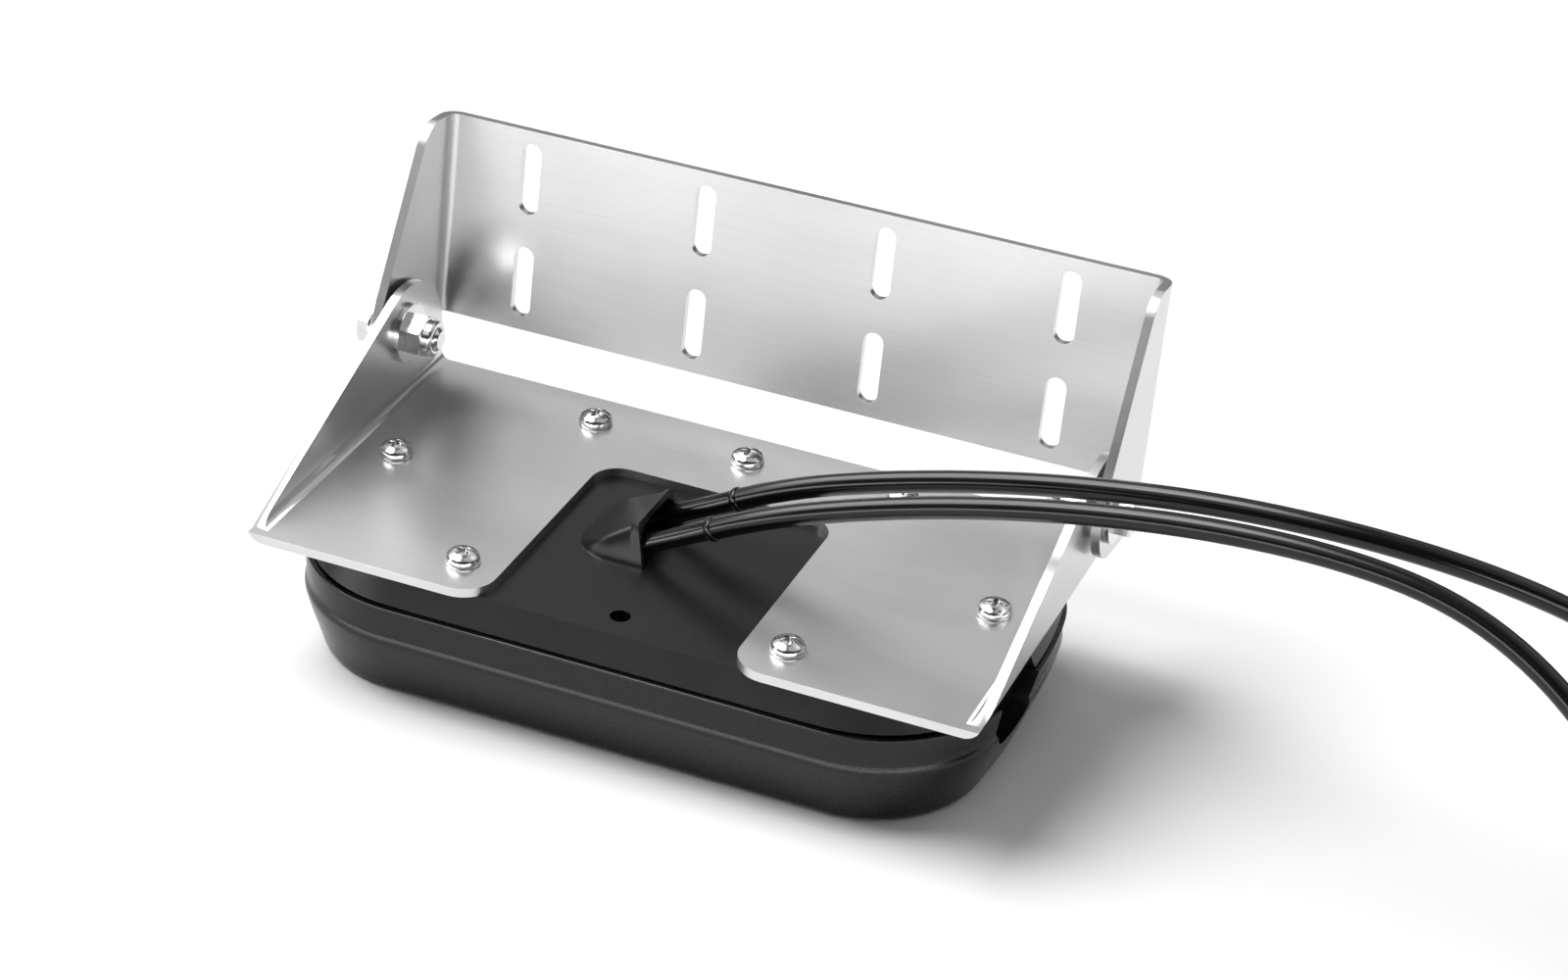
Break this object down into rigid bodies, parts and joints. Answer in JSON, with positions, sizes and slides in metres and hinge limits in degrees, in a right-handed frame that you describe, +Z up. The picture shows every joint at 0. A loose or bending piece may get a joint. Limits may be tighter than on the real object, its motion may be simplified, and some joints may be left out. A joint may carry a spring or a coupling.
{
  "type": "sonar transducer",
  "caption": "Transom-mount sonar transducer: shallow black housing with rounded ends under a hinged two-part stainless bracket, and cables leaving a scoop on top.",
  "frame": {"origin": "on the sole, under the middle of the housing", "axes": "+X along the housing towards the side the cables leave, +Y towards the boat's transom, +Z up"},
  "size_m": [0.6124, 0.1618, 0.1302],
  "materials": {
    "housing_plastic": "fine grained satin black",
    "stainless_sheet": "brushed",
    "stainless_fasteners": "turned and washed",
    "insert_brass": "turned",
    "seal_rubber": "matt",
    "cable_jacket": "satin",
    "boot_rubber": "glossy moulded",
    "plug_plastic": "moulded",
    "carrier_plastic": "moulded",
    "array_ceramic": "sintered",
    "board_laminate": "lacquered",
    "sensor_brass": "turned"
  },
  "bodies": {
    "transducer": {"hull": "housing_plastic", "top_cover": "housing_plastic", "housing_seal": "seal_rubber", "aft_cable_boot": "boot_rubber", "fore_cable_boot": "boot_rubber", "transducer_bracket": "stainless_sheet", "bracket_screws": "stainless_fasteners", "screw_inserts": "insert_brass", "array_carrier": "carrier_plastic", "port_array": "array_ceramic", "starboard_array": "array_ceramic", "down_array": "array_ceramic", "circuit_board": "board_laminate", "temperature_sensor": "sensor_brass", "left_spacer_washer": "stainless_fasteners", "left_head_washer": "stainless_fasteners", "left_inner_washer": "stainless_fasteners", "left_pivot_bolt": "stainless_fasteners", "left_lock_nut": "stainless_fasteners", "right_spacer_washer": "stainless_fasteners", "right_head_washer": "stainless_fasteners", "right_inner_washer": "stainless_fasteners", "right_pivot_bolt": "stainless_fasteners", "right_lock_nut": "stainless_fasteners", "aft_cable": "cable_jacket", "aft_cable_coil": "cable_jacket", "aft_plug_grip": "plug_plastic", "aft_plug_nose": "plug_plastic", "aft_plug_collar": "plug_plastic", "fore_cable": "cable_jacket", "fore_cable_coil": "cable_jacket", "fore_plug_grip": "plug_plastic", "fore_plug_nose": "plug_plastic", "fore_plug_collar": "plug_plastic"},
    "transom_mount": {"transom_bracket": "stainless_sheet"}
  },
  "joints": [
    {"name": "tilt", "type": "hinge", "parent": "transducer", "child": "transom_mount", "pos_m": [0, 0.0375, 0.0685], "axis": [1, 0, 0], "range_deg": [-20, 50]}
  ]
}
